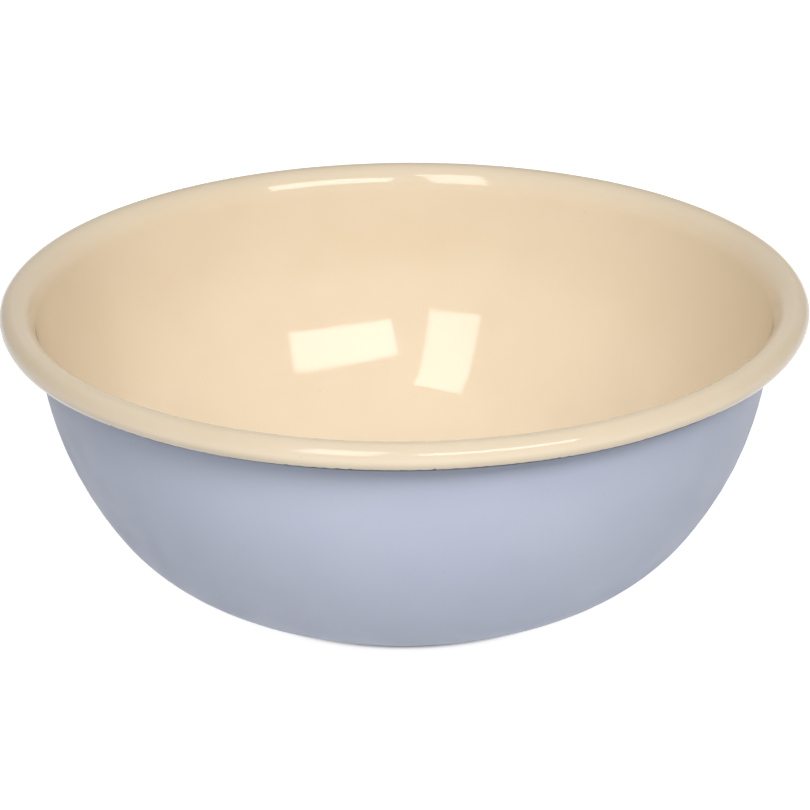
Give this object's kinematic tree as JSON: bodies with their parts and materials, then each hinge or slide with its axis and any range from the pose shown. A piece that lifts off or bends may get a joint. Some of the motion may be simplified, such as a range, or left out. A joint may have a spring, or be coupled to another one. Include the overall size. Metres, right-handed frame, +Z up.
{
  "type": "bowl",
  "caption": "Round enamelled steel kitchen bowl with a full curved wall, an outward rolled rim, a cream lining and a pale grey-blue outside.",
  "frame": {"origin": "on the table, under the middle of the bowl", "axes": "+Z up along the bowl's axis; the bowl is round, so +X and +Y are any two horizontal directions"},
  "size_m": [0.22, 0.22, 0.082],
  "materials": {
    "bare_steel": "cold rolled, bare only at the raw edge inside the curl",
    "ground_enamel": "glossy blue-black first coat",
    "cream_enamel": "glossy cream cover coat",
    "blue_enamel": "glossy pale grey-blue cover coat"
  },
  "bodies": {
    "root": {"steel_shell": "bare_steel", "ground_coat_inside": "ground_enamel", "ground_coat_outside": "ground_enamel", "cream_lining": "cream_enamel", "cream_rim_edging": "cream_enamel", "blue_outer_coat": "blue_enamel", "blue_under_rim": "blue_enamel"}
  },
  "joints": []
}
